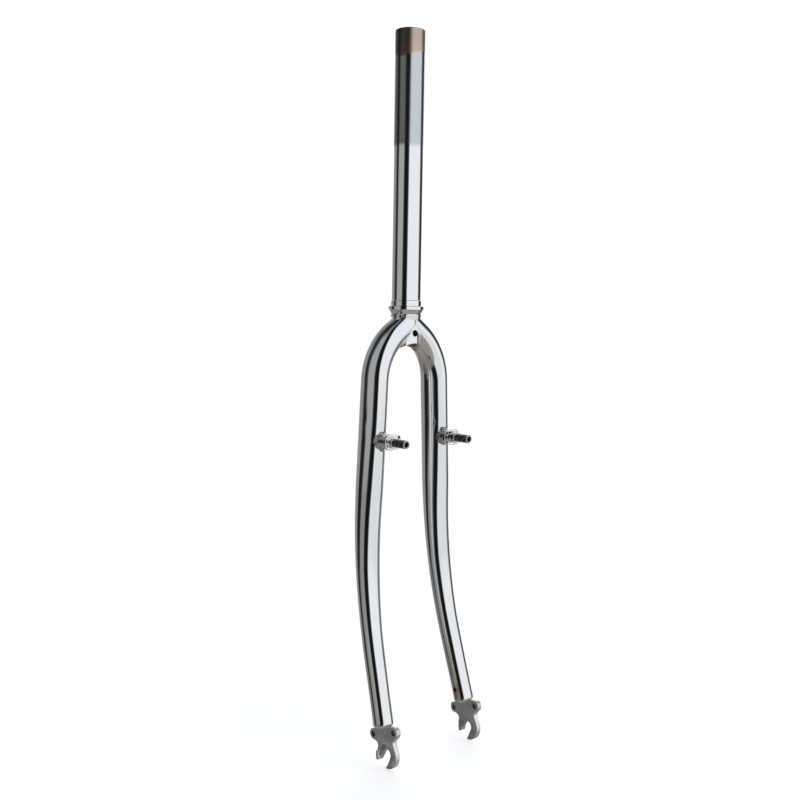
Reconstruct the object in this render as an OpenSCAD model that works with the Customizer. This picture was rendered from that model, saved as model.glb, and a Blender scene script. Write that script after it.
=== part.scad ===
// Rigid bicycle fork of welded and chromed steel, with two curved blades that join right under the steerer.
// Millimetres. The origin is on the steerer axis, at the shoulder that the lower headset race rests on.
// +Z runs up the steerer, the front of the bicycle is -Y, and the rider's left is +X.
// The blades, brake bosses and dropouts are drawn on the rider's left and mirrored to the right.

/* [Steerer] */
// Outer diameter of the threadless steerer
steerer_od = 28.6; // [28.6:0.1:30]
// Bore of the steerer above its thick lower end
steerer_bore = 25.4; // [22:0.1:26]
// Bore of the thick lower end
steerer_butt_bore = 24.0; // [20:0.1:25]
// Length of the steerer above the race shoulder
steerer_above = 261; // [150:1:300]
// Depth of the steerer below the race shoulder
steerer_below = 42; // [40:0.5:46]
// Diameter that the lower headset race is pressed onto
race_seat_od = 30.0; // [29.4:0.1:31]
// Height of the race seat
race_seat_h = 5.5; // [4:0.5:8]

/* [Crown] */
// Diameter of the flange that carries the race
flange_od = 35; // [33:0.5:38]
// Thickness of the flange rim
flange_h = 3.7; // [2:0.1:5]
// Height of the cone under the flange
flange_cone_h = 4.0; // [2:0.5:5]
// Depth of the bolt hole for a mudguard or lamp
crown_hole_z = -25.9; // [-28:0.1:-25]
// Diameter of that bolt hole
crown_hole_d = 6.5; // [5:0.1:7]
// Height of the arch that the lower end of the steerer is cut to
arch_rise = 6.5; // [4:0.5:8]

/* [Blades] */
// Diameter of the blade tube before it is pressed oval and bent
blade_top_od = 27.5; // [25.4:0.1:28]
// How much deeper than wide a blade is below the crown bend
blade_oval = 4.1; // [0:0.1:5]
// How much deeper than wide it is where it meets the steerer
crown_oval = 1.6; // [0:0.1:2]
// Height at which the oval starts to fade out
oval_top_z = -110; // [-130:1:-100]
// Height below which a blade is round
oval_end_z = -250; // [-290:1:-230]
// Diameter of a blade above the dropout
blade_low_od = 19.2; // [17:0.1:21]
// Wall of the blade tube
blade_wall = 1.2; // [0.9:0.1:1.6]
// Angle at which a blade leaves the steerer, from straight down
crown_angle = 53.3; // [48:0.1:56]
// Straight length of a blade before its upper bend
crown_run = 17.4; // [14:0.1:20]
// Radius of the upper bend
crown_bend_r = 60; // [50:1:70]
// Outward lean of a blade below the bend
blade_lean = 2.56; // [1:0.01:4]
// Height at which the blade starts to taper
taper_top_z = -173.8; // [-185:0.1:-160]
// Height at which the forward bend starts
rake_start_z = -190; // [-220:1:-188]
// Radius of the forward bend
rake_bend_r = 493.4; // [460:0.1:530]
// Forward slope of a blade below that bend
rake_slope = 16.56; // [14:0.01:18]
// Height at which the round blade end begins
blade_end_z = -388; // [-390:0.5:-384]
// Diameter of the vent hole on the inboard side of a blade
vent_d = 3.2; // [2:0.1:5]
// Height of the vent hole
vent_z = -379; // [-381:0.5:-340]

/* [Brake bosses] */
// Distance between the two brake studs
stud_spacing = 80; // [78:0.5:82]
// Height of the brake studs
stud_z = -127.1; // [-135:0.1:-118]
// How far the stud tips stand in front of the steerer axis
stud_tip_y = 50.2; // [48:0.1:54]
// Diameter of a brake stud
stud_d = 8.0; // [7.8:0.1:8.2]
// Free length of a brake stud
stud_len = 16.2; // [15:0.1:18]
// Diameter of the shoulder behind a stud
shoulder_d = 10.6; // [10:0.1:12]
// Diameter of the foot that is welded to the blade
foot_d = 13; // [12:0.5:15]
// Diameter of the round part of the spring plate
plate_d = 16; // [15:0.5:18]
// Thickness of the spring plate
plate_t = 3.5; // [2:0.1:4]
// Diameter of the three spring holes
spring_hole_d = 2.6; // [2:0.1:3]

/* [Dropouts] */
// Clear width between the dropouts, for the hub
hub_width = 100; // [96:1:104]
// Thickness of a dropout
dropout_t = 5.0; // [4:0.1:7]
// How far the wheel axle is in front of the steerer axis
axle_y = 46; // [44:0.1:48]
// Height of the wheel axle
axle_z = -414.4; // [-416:0.1:-413]
// Width of the axle slot
slot_w = 9.5; // [9:0.1:10]
// Radius of the hook around the axle
hook_r = 13.3; // [12:0.1:15]
// Diameter of the seat for the wheel's safety washer
washer_seat_d = 21; // [18:0.5:24]
// Diameter of the mudguard eyelet holes
eyelet_hole_d = 5.0; // [4.5:0.1:5.5]
// Diameter of the eyelets
eyelet_od = 10.6; // [10:0.1:12]

/* [Hidden] */
$fn = 64;
eps = 0.01;

chrome = "silver";
dull_plating = "darkgray";
weld_metal = "gainsboro";
bare_steel = "dimgray";

steerer_r = steerer_od / 2;
blade_r = blade_top_od / 2;
low_r = blade_low_od / 2;
// Sides of the polygon that a blade's section is drawn with
sides = 36;
// Where the blade axis crosses the steerer axis
crown_apex_z = -15.4;
// Steps along the upper bend, the forward bend and the round end
crown_steps = 12;
rake_steps = 8;
dome_steps = 4;
// Depth of the round end below the tube
dome_h = 5.5;

// Side view of the blade axis: how far forward it is, and its slope, at height z
rake_end_z = rake_start_z - rake_bend_r * sin(rake_slope);
rake_end_y = rake_bend_r * (1 - cos(rake_slope));
function slope_at(z) = z > rake_start_z ? 0
    : z > rake_end_z ? asin((rake_start_z - z) / rake_bend_r) : rake_slope;
function forward_at(z) = z > rake_end_z ? rake_bend_r * (1 - cos(slope_at(z)))
    : rake_end_y + (rake_end_z - z) * tan(rake_slope);

// Front view of the blade axis: [outward, height, lean], the given distance along the crown run and bend
bend_len = crown_bend_r * (crown_angle - blade_lean) * PI / 180;
bend_x = crown_run * sin(crown_angle);
bend_z = crown_apex_z - crown_run * cos(crown_angle);
function lean_at(d) = crown_angle - max(0, d - crown_run) / crown_bend_r * 180 / PI;
function crown_at(d) = d < crown_run
    ? [d * sin(crown_angle), crown_apex_z - d * cos(crown_angle), crown_angle]
    : [bend_x + crown_bend_r * (cos(lean_at(d)) - cos(crown_angle)),
       bend_z - crown_bend_r * (sin(crown_angle) - sin(lean_at(d))), lean_at(d)];
leg_top = crown_at(crown_run + bend_len);
function leg_x(z) = leg_top[0] + (leg_top[1] - z) * tan(blade_lean);

// Outer radius of the tube at height z: full at the crown, with two gentle tapers below
mid_taper_z = -307.8;
mid_taper_r = 10.24;
low_taper_z = -365;
function mix(a, b, t) = a + (b - a) * min(1, max(0, t));
function radius_at(z) = z > mid_taper_z
    ? mix(blade_r, mid_taper_r, (taper_top_z - z) / (taper_top_z - mid_taper_z))
    : mix(mid_taper_r, low_r, (mid_taper_z - z) / (mid_taper_z - low_taper_z));
function oval_at(z) = mix(blade_oval, 0, (oval_top_z - z) / (oval_top_z - oval_end_z));

// A station is [centre, axis direction, half width, half depth]
function unit(v) = v / norm(v);
function station(x, z, lean, r, oval) =
    [[x, -forward_at(z), z], unit([tan(lean), -tan(slope_at(z)), -1]), r - oval / 2, r + oval / 2];
function leg_station(z) = station(leg_x(z), z, blade_lean, radius_at(z), oval_at(z));
function crown_station(d) = let (p = crown_at(d))
    station(p[0], p[1], p[2], blade_r, mix(crown_oval, blade_oval, (d - crown_run) / bend_len));
crown_ds = [for (i = [0:crown_steps]) crown_run + bend_len * i / crown_steps];
rake_zs = [for (i = [0:rake_steps]) rake_start_z - rake_bend_r * sin(rake_slope * i / rake_steps)];
leg_zs = concat([oval_top_z, taper_top_z], rake_zs, [low_taper_z, blade_end_z]);
tube_stations = concat([for (d = crown_ds) crown_station(d)], [for (z = leg_zs) leg_station(z)]);
end_station = leg_station(blade_end_z);
dome_stations = [for (i = [1:dome_steps]) let (a = 84 * i / dome_steps)
    [end_station[0] + end_station[1] * dome_h * sin(a), end_station[1], low_r * cos(a), low_r * cos(a)]];

// Point k of the section at a station, with the given thickness taken off all round
function ring_point(s, k, less) =
    let (wide = unit(cross([0, -1, 0], s[1])), deep = cross(s[1], wide), a = 360 * k / sides)
    s[0] + (s[2] - less) * cos(a) * wide + (s[3] - less) * sin(a) * deep;
function ring_points(s, less) = [for (k = [0:sides - 1]) ring_point(s, k, less)];

// Where line k of the skin meets the steerer or the other blade: first the distance, then the point
mitre_gap = 0.05;
mitre_r = steerer_r + mitre_gap;
mitre_passes = 6;
function mitre_x(y) = abs(y) < mitre_r ? sqrt(mitre_r * mitre_r - y * y) : 0;
function mitre_d(k, less, d = 10, pass = 0) = pass == mitre_passes ? d
    : let (p = ring_point(crown_station(d), k, less), slope = sin(lean_at(d)))
      mitre_d(k, less, d + (mitre_x(p[1]) - p[0]) / slope, pass + 1);
function mitre_point(k, less) = ring_point(crown_station(mitre_d(k, less)), k, less);

// Triangles of the wall between ring 0, which is the mitre, and the other rings of a skin.
// Rings that lie before the mitre on a line are left out there.
function first_ring(k, less) = let (d = mitre_d(k, less)) len([for (c = crown_ds) if (c <= d) 1]);
function ring_id(i, k, firsts) = i <= firsts[k % sides] ? k % sides : i * sides + k % sides;
function wall(count, firsts, base, flip) = [for (i = [0:count - 2]) for (k = [0:sides - 1])
    let (a = ring_id(i, k, firsts), b = ring_id(i, k + 1, firsts),
         c = ring_id(i + 1, k + 1, firsts), d = ring_id(i + 1, k, firsts))
    for (t = [[a, d, c], [a, c, b]]) if (t[0] != t[1] && t[1] != t[2] && t[0] != t[2])
        [for (n = flip ? [2, 1, 0] : [0, 1, 2]) base + t[n]]];

// The blade tube: an outer and an inner skin, joined at the mitre and closed at the low end
module blade_tube() {
    outer = concat(tube_stations, dome_stations);
    outer_count = len(outer) + 1;
    inner_count = len(tube_stations) + 1;
    base = outer_count * sides;
    points = concat([for (k = [0:sides - 1]) mitre_point(k, 0)], [for (s = outer) each ring_points(s, 0)],
        [for (k = [0:sides - 1]) mitre_point(k, blade_wall)],
        [for (s = tube_stations) each ring_points(s, blade_wall)]);
    outer_firsts = [for (k = [0:sides - 1]) first_ring(k, 0)];
    inner_firsts = [for (k = [0:sides - 1]) first_ring(k, blade_wall)];
    rim = [for (k = [0:sides - 1]) let (n = (k + 1) % sides)
        each [[k, n, base + n], [k, base + n, base + k]]];
    outer_end = [for (k = [sides - 1:-1:0]) (outer_count - 1) * sides + k];
    inner_end = [for (k = [0:sides - 1]) base + (inner_count - 1) * sides + k];
    polyhedron(points = points, convexity = 8, faces = concat(rim,
        wall(outer_count, outer_firsts, 0, false), wall(inner_count, inner_firsts, base, true),
        [outer_end, inner_end]));
}

// A solid skin around a few stations
module skin(stations) {
    count = len(stations);
    walls = [for (i = [0:count - 2]) for (k = [0:sides - 1])
        let (a = i * sides + k, b = i * sides + (k + 1) % sides)
        each [[a, a + sides, b + sides], [a, b + sides, b]]];
    top = [for (k = [0:sides - 1]) k];
    bottom = [for (k = [sides - 1:-1:0]) (count - 1) * sides + k];
    polyhedron(points = [for (s = stations) each ring_points(s, 0)], faces = concat([top], walls, [bottom]),
        convexity = 4);
}

// Everything on the other side of the middle plane, where the two blades meet
module other_half() {
    translate([-100, -50, -100]) cube([100, 100, 200]);
}

// The upper part of a blade as a solid, to trim the crown weld with
module crown_stub() {
    difference() {
        skin([for (d = [-12, crown_ds[0], crown_ds[1], crown_ds[2]]) crown_station(d)]);
        other_half();
    }
}

// The straight part of a blade as a solid, to trim what is welded to it
module leg_stub() {
    skin([for (z = [leg_top[1], oval_top_z, taper_top_z]) leg_station(z)]);
}

module steerer_skin() {
    translate([0, 0, -steerer_below - 20]) cylinder(r = steerer_r, h = steerer_below + 40);
}

// Steerer: a drawn tube with a thick lower end, a turned race seat, and an arched foot between the blades
butt_top_z = 60;
butt_cone_h = 20;
arch_r = (steerer_r * steerer_r + arch_rise * arch_rise) / (2 * arch_rise);
rim_chamfer = 0.4;
module steerer_tube() {
    color(chrome) difference() {
        rotate_extrude() polygon([
            [steerer_butt_bore / 2, -steerer_below], [steerer_r, -steerer_below], [steerer_r, 0],
            [race_seat_od / 2, 0], [race_seat_od / 2, race_seat_h - rim_chamfer],
            [race_seat_od / 2 - rim_chamfer, race_seat_h], [steerer_r, race_seat_h],
            [steerer_r, steerer_above - rim_chamfer], [steerer_r - rim_chamfer, steerer_above],
            [steerer_bore / 2, steerer_above], [steerer_bore / 2, butt_top_z],
            [steerer_butt_bore / 2, butt_top_z - butt_cone_h]]);
        translate([0, 0, crown_hole_z]) rotate([90, 0, 0])
            cylinder(d = crown_hole_d, h = steerer_od * 2, center = true);
        translate([0, 0, arch_rise - steerer_below - arch_r]) rotate([90, 0, 0])
            cylinder(r = arch_r, h = steerer_od * 2, center = true);
    }
}

// Turned ring whose top carries the lower headset race, with a cone below
cone_foot = 0.4;
module crown_flange_ring() {
    color(chrome) rotate_extrude() polygon([
        [steerer_r, 0], [flange_od / 2 - rim_chamfer, 0], [flange_od / 2, -rim_chamfer],
        [flange_od / 2, -flange_h + rim_chamfer], [flange_od / 2 - rim_chamfer, -flange_h],
        [steerer_r + cone_foot, -flange_h - flange_cone_h], [steerer_r, -flange_h - flange_cone_h]]);
}

// Weld metal in the corner between the flange ring, the steerer and the tops of the blades
weld_top_z = -flange_h - flange_cone_h;
weld_bulge = 0.45;
weld_h = 5.5;
weld_steps = 8;
function weld_profile() = [for (i = [0:weld_steps]) let (t = i / weld_steps)
    [steerer_r + cone_foot * (1 - t) + weld_bulge * sin(180 * sqrt(t)), weld_top_z - weld_h * t]];
module crown_weld() {
    color(weld_metal) difference() {
        rotate_extrude() polygon(concat([[steerer_r - 1, weld_top_z]], weld_profile(),
            [[steerer_r - 1, weld_top_z - weld_h]]));
        steerer_skin();
        crown_stub();
        mirror([1, 0, 0]) crown_stub();
    }
}

// Fork blade: a tapered tube, mitred to the steerer, bent out, down and forward, with a closed round end
module blade() {
    difference() {
        blade_tube();
        dropout_blank();
        translate([leg_x(vent_z), -forward_at(vent_z), vent_z]) rotate([0, -90, 0])
            cylinder(d = vent_d, h = blade_top_od, $fn = 32);
    }
}
module blade_left() {
    color(chrome) blade();
}
module blade_right() {
    color(chrome) mirror([1, 0, 0]) blade();
}

// Places its children at a brake stud, with their z axis running forward from the steerer axis
module at_stud() {
    translate([stud_spacing / 2, 0, stud_z]) rotate([90, 0, 0]) children();
}

// Weld fillet around the foot of a brake boss
foot_base = 7;
fillet_w = 2.4;
fillet_h = 3.6;
blade_front_y = blade_r + oval_at(stud_z) / 2;
module boss_weld() {
    difference() {
        at_stud() rotate_extrude() polygon([
            [foot_d / 2, foot_base], [foot_d / 2 + fillet_w, foot_base],
            [foot_d / 2 + fillet_w, blade_front_y - fillet_h / 2],
            [foot_d / 2 + fillet_w * 0.8, blade_front_y],
            [foot_d / 2 + fillet_w * 0.35, blade_front_y + fillet_h * 0.45],
            [foot_d / 2, blade_front_y + fillet_h]]);
        leg_stub();
    }
}
module boss_weld_left() {
    color(weld_metal) boss_weld();
}
module boss_weld_right() {
    color(weld_metal) mirror([1, 0, 0]) boss_weld();
}

// Turned boss: a foot shaped to the blade, and a shoulder that the spring plate sits around
shoulder_y = stud_tip_y - stud_len;
plate_front_y = shoulder_y - 5.2;
plate_back_y = plate_front_y - plate_t;
stud_shank = 10;
shank_d = stud_d - 1;
module brake_boss() {
    difference() {
        at_stud() difference() {
            union() {
                translate([0, 0, foot_base]) cylinder(d = foot_d, h = plate_back_y - foot_base);
                translate([0, 0, plate_back_y - eps])
                    cylinder(d = shoulder_d, h = shoulder_y - plate_back_y + eps);
            }
            translate([0, 0, shoulder_y - stud_shank]) cylinder(d = shank_d, h = stud_shank + 1);
        }
        leg_stub();
    }
}
module brake_boss_left() {
    color(chrome) brake_boss();
}
module brake_boss_right() {
    color(chrome) mirror([1, 0, 0]) brake_boss();
}

// Spring plate: a round washer with an inboard tab that has three holes for the end of the brake spring
tab_reach = 12.3;
tab_half = 7;
tab_corner = 5.5;
hole_circle_r = 10;
hole_step = 25;
module spring_plate() {
    at_stud() translate([0, 0, plate_back_y]) linear_extrude(plate_t) difference() {
        union() {
            circle(d = plate_d);
            translate([-tab_reach + tab_corner, -tab_half]) square([tab_reach - tab_corner, 2 * tab_half]);
            translate([-tab_reach, -tab_half + tab_corner]) square([tab_corner, 2 * (tab_half - tab_corner)]);
            for (s = [-1, 1]) translate([-tab_reach + tab_corner, s * (tab_half - tab_corner)])
                circle(r = tab_corner);
        }
        circle(d = shoulder_d);
        for (i = [-1:1]) rotate(180 + hole_step * i) translate([hole_circle_r, 0])
            circle(d = spring_hole_d, $fn = 32);
    }
}
module spring_plate_left() {
    color(chrome) spring_plate();
}
module spring_plate_right() {
    color(chrome) mirror([1, 0, 0]) spring_plate();
}

// Brake stud: a bare turned pin with an M6 thread in its open end
stud_bore_d = 5.0;
stud_bore_depth = 18;
stud_chamfer = 0.6;
module brake_stud() {
    at_stud() difference() {
        union() {
            translate([0, 0, shoulder_y - stud_shank]) cylinder(d = shank_d, h = stud_shank + eps);
            translate([0, 0, shoulder_y]) cylinder(d = stud_d, h = stud_len - stud_chamfer);
            translate([0, 0, stud_tip_y - stud_chamfer])
                cylinder(d1 = stud_d, d2 = stud_d - 2 * stud_chamfer, h = stud_chamfer);
        }
        translate([0, 0, stud_tip_y - stud_bore_depth]) cylinder(d = stud_bore_d, h = stud_bore_depth + 1);
        translate([0, 0, stud_tip_y - stud_chamfer])
            cylinder(d1 = stud_bore_d, d2 = stud_bore_d + 4 * stud_chamfer, h = 2 * stud_chamfer);
    }
}
module brake_stud_left() {
    color(bare_steel) brake_stud();
}
module brake_stud_right() {
    color(bare_steel) mirror([1, 0, 0]) brake_stud();
}

// Dropout outline, as [forward, up] from the axle. The slot opens down and back.
rear_eyelet = [-19.4, 13.6];
front_eyelet = [8.65, 22.9];
prong_tip = [-11.9, -8.3];
slot_back_angle = 31;
slot_front_angle = 25;
slot_len = 24;
tab_up = 16;
blade_foot = [forward_at(blade_end_z) - axle_y, blade_end_z - axle_z];
function along(a, d) = [-sin(a) * d, -cos(a) * d];
function across(a, d) = [cos(a) * d, -sin(a) * d];
module dropout_outline() {
    up = [-sin(rake_slope), cos(rake_slope)];
    side = [cos(rake_slope), sin(rake_slope)];
    tab_half_w = 6.5;
    difference() {
        union() {
            circle(r = hook_r, $fn = 96);
            translate(rear_eyelet) circle(d = eyelet_od);
            translate(front_eyelet) circle(d = eyelet_od);
            polygon([rear_eyelet + [-1.66, 5.03], rear_eyelet + [1.5, -5.1], [-14.4, 7.6], [-13.0, 6.2],
                [-12.5, 4], [-12.95, -1], [-13.1, -4], prong_tip + [-0.9, 1.4],
                prong_tip + [-0.5, 0.4], prong_tip, [0, 0], [hook_r - 0.1, 2], [8.3, 13.4], [9.0, 15.2],
                front_eyelet + [4.4, -3.1], front_eyelet, front_eyelet + [-1.66, 5.03]]);
            polygon([blade_foot - side * tab_half_w - up * 8, blade_foot + side * tab_half_w - up * 8,
                blade_foot + side * tab_half_w + up * tab_up, blade_foot - side * tab_half_w + up * tab_up]);
        }
        circle(d = slot_w);
        polygon([[0, 0], across(slot_front_angle, slot_w / 2),
            across(slot_front_angle, slot_w / 2) + along(slot_front_angle, slot_len),
            across(slot_back_angle, -slot_w / 2) + along(slot_back_angle, slot_len),
            across(slot_back_angle, -slot_w / 2)]);
    }
}

// Turns an outline of [forward, up] into a plate that faces sideways, at the dropout's place
module stand_plate(t) {
    rotate([90, 0, -90]) translate([0, 0, -t]) linear_extrude(t) children();
}
module dropout_blank() {
    translate([hub_width / 2, -axle_y, axle_z]) stand_plate(dropout_t) dropout_outline();
}

washer_seat_depth = 0.5;
module side_hole(at, d, from, depth) {
    translate([hub_width / 2 + from, -axle_y - at[0], axle_z + at[1]]) rotate([0, 90, 0])
        cylinder(d = d, h = depth);
}

// Lip on the outer face of the rear prong, which holds the washer of a loose wheel
lip_h = 2;
lip_back = 8;
lip_top = 0.5;
lip_block = 12;
module prong_lip() {
    difference() {
        intersection() {
            translate([hub_width / 2 + dropout_t - eps, -axle_y, axle_z]) stand_plate(lip_h + eps)
                dropout_outline();
            translate([hub_width / 2, lip_back - axle_y, axle_z + lip_top - lip_block])
                cube([lip_block, lip_block, lip_block]);
        }
        side_hole([0, 0], washer_seat_d, dropout_t - 1, lip_block);
    }
}

// Dropout: a thick cut plate with an axle slot, a shallow washer seat and two eyelets, its tab in the blade
module dropout() {
    difference() {
        union() {
            dropout_blank();
            prong_lip();
        }
        side_hole(rear_eyelet, eyelet_hole_d, -1, dropout_t + 2);
        side_hole(front_eyelet, eyelet_hole_d, -1, dropout_t + 2);
        side_hole([0, 0], washer_seat_d, dropout_t - washer_seat_depth, 2);
    }
}
module dropout_left() {
    color(dull_plating) dropout();
}
module dropout_right() {
    color(dull_plating) mirror([1, 0, 0]) dropout();
}

steerer_tube();
crown_flange_ring();
crown_weld();
blade_right();
blade_left();
boss_weld_right();
boss_weld_left();
brake_boss_right();
brake_boss_left();
spring_plate_right();
spring_plate_left();
brake_stud_right();
brake_stud_left();
dropout_right();
dropout_left();
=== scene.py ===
"""The looks of a chromed steel bicycle fork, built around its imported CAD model.

Lengths are in metres in the CAD model's frame: +Z runs up the steerer from the race shoulder,
-Y is the front of the bicycle and +X the rider's left. The rider's right side is the near one.
"""

import math

import bmesh
import bpy
from mathutils import Matrix, Vector, noise


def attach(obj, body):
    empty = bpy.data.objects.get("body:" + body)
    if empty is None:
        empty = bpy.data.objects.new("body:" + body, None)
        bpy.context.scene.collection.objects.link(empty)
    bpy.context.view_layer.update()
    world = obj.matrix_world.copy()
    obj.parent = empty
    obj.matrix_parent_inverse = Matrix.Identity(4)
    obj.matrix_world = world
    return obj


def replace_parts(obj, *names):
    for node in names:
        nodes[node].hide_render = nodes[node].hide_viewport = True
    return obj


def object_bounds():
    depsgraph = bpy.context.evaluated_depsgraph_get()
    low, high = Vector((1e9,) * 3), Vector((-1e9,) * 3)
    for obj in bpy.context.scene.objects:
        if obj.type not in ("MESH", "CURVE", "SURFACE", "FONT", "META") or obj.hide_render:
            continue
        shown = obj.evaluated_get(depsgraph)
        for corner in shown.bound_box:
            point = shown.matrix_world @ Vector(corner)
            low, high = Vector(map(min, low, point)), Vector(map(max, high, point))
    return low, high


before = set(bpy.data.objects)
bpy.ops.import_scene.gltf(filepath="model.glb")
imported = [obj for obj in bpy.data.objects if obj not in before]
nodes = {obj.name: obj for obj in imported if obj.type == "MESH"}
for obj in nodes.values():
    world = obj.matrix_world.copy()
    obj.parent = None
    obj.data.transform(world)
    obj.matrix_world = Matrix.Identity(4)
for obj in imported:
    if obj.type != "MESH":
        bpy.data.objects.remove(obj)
cad_box = [list(corner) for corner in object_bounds()]

# Camera: it stands about a metre away at the rider's right front, level with the crown,
# and looks slightly down. Its small shift only sets the fork where the photograph has it.
heading, pitch, roll = math.radians(-41.16), math.radians(3.7), math.radians(0.95)
distance, eye_height = 0.98363, -0.01252
camera_back = Vector((math.sin(heading) * math.cos(pitch), -math.cos(heading) * math.cos(pitch),
                      math.sin(pitch)))
level_right = Vector((math.cos(heading), math.sin(heading), 0))
level_up = camera_back.cross(level_right)
camera_right = math.cos(roll) * level_right + math.sin(roll) * level_up
camera_up = math.cos(roll) * level_up - math.sin(roll) * level_right
camera_data = bpy.data.cameras.new("studio_camera")
camera_data.sensor_width = 36
camera_data.lens = 45.617
camera_data.shift_x = -0.0058
camera_data.shift_y = -0.0191
camera_data.clip_start = 0.05
camera = bpy.data.objects.new("studio_camera", camera_data)
turn = Matrix((camera_right, camera_up, camera_back)).transposed()
camera.matrix_world = Matrix.Translation(
    (distance * math.sin(heading), -distance * math.cos(heading), eye_height)) @ turn.to_4x4()
bpy.context.scene.collection.objects.link(camera)
bpy.context.scene.camera = camera

# Steerer: a drawn and polished steel tube. It is chromed below, while its upper part was left out of
# the bath: there the polished steel is grey, and its very top is bare and has gone brown.
STEERER_R = 0.0143
CHROME, SPECK = (0.81, 0.82, 0.83, 1), (0.25, 0.23, 0.21, 1)


def start_material(name):
    """A new material with its node tree, its Principled shader and the object coordinates."""
    material = bpy.data.materials.new(name)
    material.use_nodes = True
    tree = material.node_tree
    shader = tree.nodes["Principled BSDF"]
    place = tree.nodes.new("ShaderNodeTexCoord").outputs["Object"]
    return material, tree, shader, place


def math_node(tree, operation, *values):
    """One Math node; a value is a number or a socket."""
    node = tree.nodes.new("ShaderNodeMath")
    node.operation = operation
    for socket, value in zip(node.inputs, values):
        if isinstance(value, (int, float)):
            socket.default_value = value
        else:
            tree.links.new(value, socket)
    return node.outputs[0]


def split_axes(tree, place):
    """The X, Y and Z sockets of a place."""
    node = tree.nodes.new("ShaderNodeSeparateXYZ")
    tree.links.new(place, node.inputs[0])
    return node.outputs["X"], node.outputs["Y"], node.outputs["Z"]


def apart(tree, first, first_at, second, second_at):
    """Distance in a flat view between a place and a fixed spot."""
    flat = tree.nodes.new("ShaderNodeCombineXYZ")
    tree.links.new(math_node(tree, "SUBTRACT", first, first_at), flat.inputs["X"])
    tree.links.new(math_node(tree, "SUBTRACT", second, second_at), flat.inputs["Y"])
    length = tree.nodes.new("ShaderNodeVectorMath")
    length.operation = "LENGTH"
    tree.links.new(flat.outputs[0], length.inputs[0])
    return length.outputs["Value"]


def mix_colour(tree, amount, first, second, blend="MIX"):
    """One Mix node for colours; each argument is a constant or a socket."""
    node = tree.nodes.new("ShaderNodeMix")
    node.data_type = "RGBA"
    node.blend_type = blend
    for socket, value in zip((node.inputs[0], node.inputs[6], node.inputs[7]), (amount, first, second)):
        if isinstance(value, (int, float, tuple)):
            socket.default_value = value
        else:
            tree.links.new(value, socket)
    return node.outputs[2]


def group_tree(name, inputs, outputs):
    """An empty shader node group; inputs and outputs are (name, kind, default)."""
    tree = bpy.data.node_groups.new(name, "ShaderNodeTree")
    for label, kind, default in inputs:
        socket = tree.interface.new_socket(label, in_out="INPUT", socket_type=kind)
        if default is not None:
            socket.default_value = default
    for label, kind in outputs:
        tree.interface.new_socket(label, in_out="OUTPUT", socket_type=kind)
    return tree, tree.nodes.new("NodeGroupInput"), tree.nodes.new("NodeGroupOutput")


def noise_node(tree, vector, scale, detail=3.0, roughness=0.5):
    node = tree.nodes.new("ShaderNodeTexNoise")
    node.inputs["Scale"].default_value = scale
    node.inputs["Detail"].default_value = detail
    node.inputs["Roughness"].default_value = roughness
    tree.links.new(vector, node.inputs["Vector"])
    return node.outputs["Fac"]


def remap(tree, value, low, high, to_low=0.0, to_high=1.0):
    """A clamped Map Range from low..high to to_low..to_high."""
    node = tree.nodes.new("ShaderNodeMapRange")
    node.clamp = True
    for socket, setting in zip(node.inputs, (value, low, high, to_low, to_high)):
        if isinstance(setting, (int, float)):
            socket.default_value = setting
        else:
            tree.links.new(setting, socket)
    return node.outputs[0]


def polish_group():
    """Drawn and buffed tube: long faint draw lines, small dull spots and specks."""
    tree, given, out = group_tree(
        "polish", [("Position", "NodeSocketVector", None), ("Roughness", "NodeSocketFloat", 0.02),
                   ("Haze", "NodeSocketFloat", 0.03)],
        [("Roughness", "NodeSocketFloat"), ("Height", "NodeSocketFloat"), ("Specks", "NodeSocketFloat")])
    place = given.outputs["Position"]
    stretch = tree.nodes.new("ShaderNodeMapping")
    stretch.inputs["Scale"].default_value = (1.0, 1.0, 0.035)
    tree.links.new(place, stretch.inputs["Vector"])
    lines = noise_node(tree, stretch.outputs[0], 900.0, 2.0)
    clouds = noise_node(tree, place, 38.0, 4.0, 0.6)
    dull = math_node(tree, "MULTIPLY", remap(tree, clouds, 0.45, 0.75), given.outputs["Haze"])
    rough = math_node(tree, "ADD", given.outputs["Roughness"], dull)
    tree.links.new(rough, out.inputs["Roughness"])
    tree.links.new(lines, out.inputs["Height"])
    specks = remap(tree, noise_node(tree, place, 520.0, 1.0), 0.80, 0.84)
    tree.links.new(specks, out.inputs["Specks"])
    return tree


POLISH = polish_group()


def place_group(tree, group, **values):
    """A group node in a material; values are numbers, colours or sockets by input name."""
    node = tree.nodes.new("ShaderNodeGroup")
    node.node_tree = group
    for label, value in values.items():
        socket = node.inputs[label]
        if isinstance(value, (int, float, tuple)):
            socket.default_value = value
        else:
            tree.links.new(value, socket)
    return node


def add_roughness(tree, shader, rough, duller):
    """Sets the roughness: that of the polish, and more of it wherever a mask says so."""
    for mask, extra in duller:
        rough = math_node(tree, "MULTIPLY_ADD", mask, extra, rough)
    tree.links.new(rough, shader.inputs["Roughness"])


def add_bump(tree, shader, height, distance, strength=1.0):
    bump = tree.nodes.new("ShaderNodeBump")
    bump.inputs["Distance"].default_value = distance
    bump.inputs["Strength"].default_value = strength
    tree.links.new(height, bump.inputs["Height"])
    tree.links.new(bump.outputs[0], shader.inputs["Normal"])


def axis_share(tree, place, along, low, high):
    """A mask that rises from 0 to 1 as the place moves along a level direction, in metres."""
    dot = tree.nodes.new("ShaderNodeVectorMath")
    dot.operation = "DOT_PRODUCT"
    dot.inputs[1].default_value = along
    tree.links.new(place, dot.inputs[0])
    return remap(tree, dot.outputs["Value"], low, high)


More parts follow.
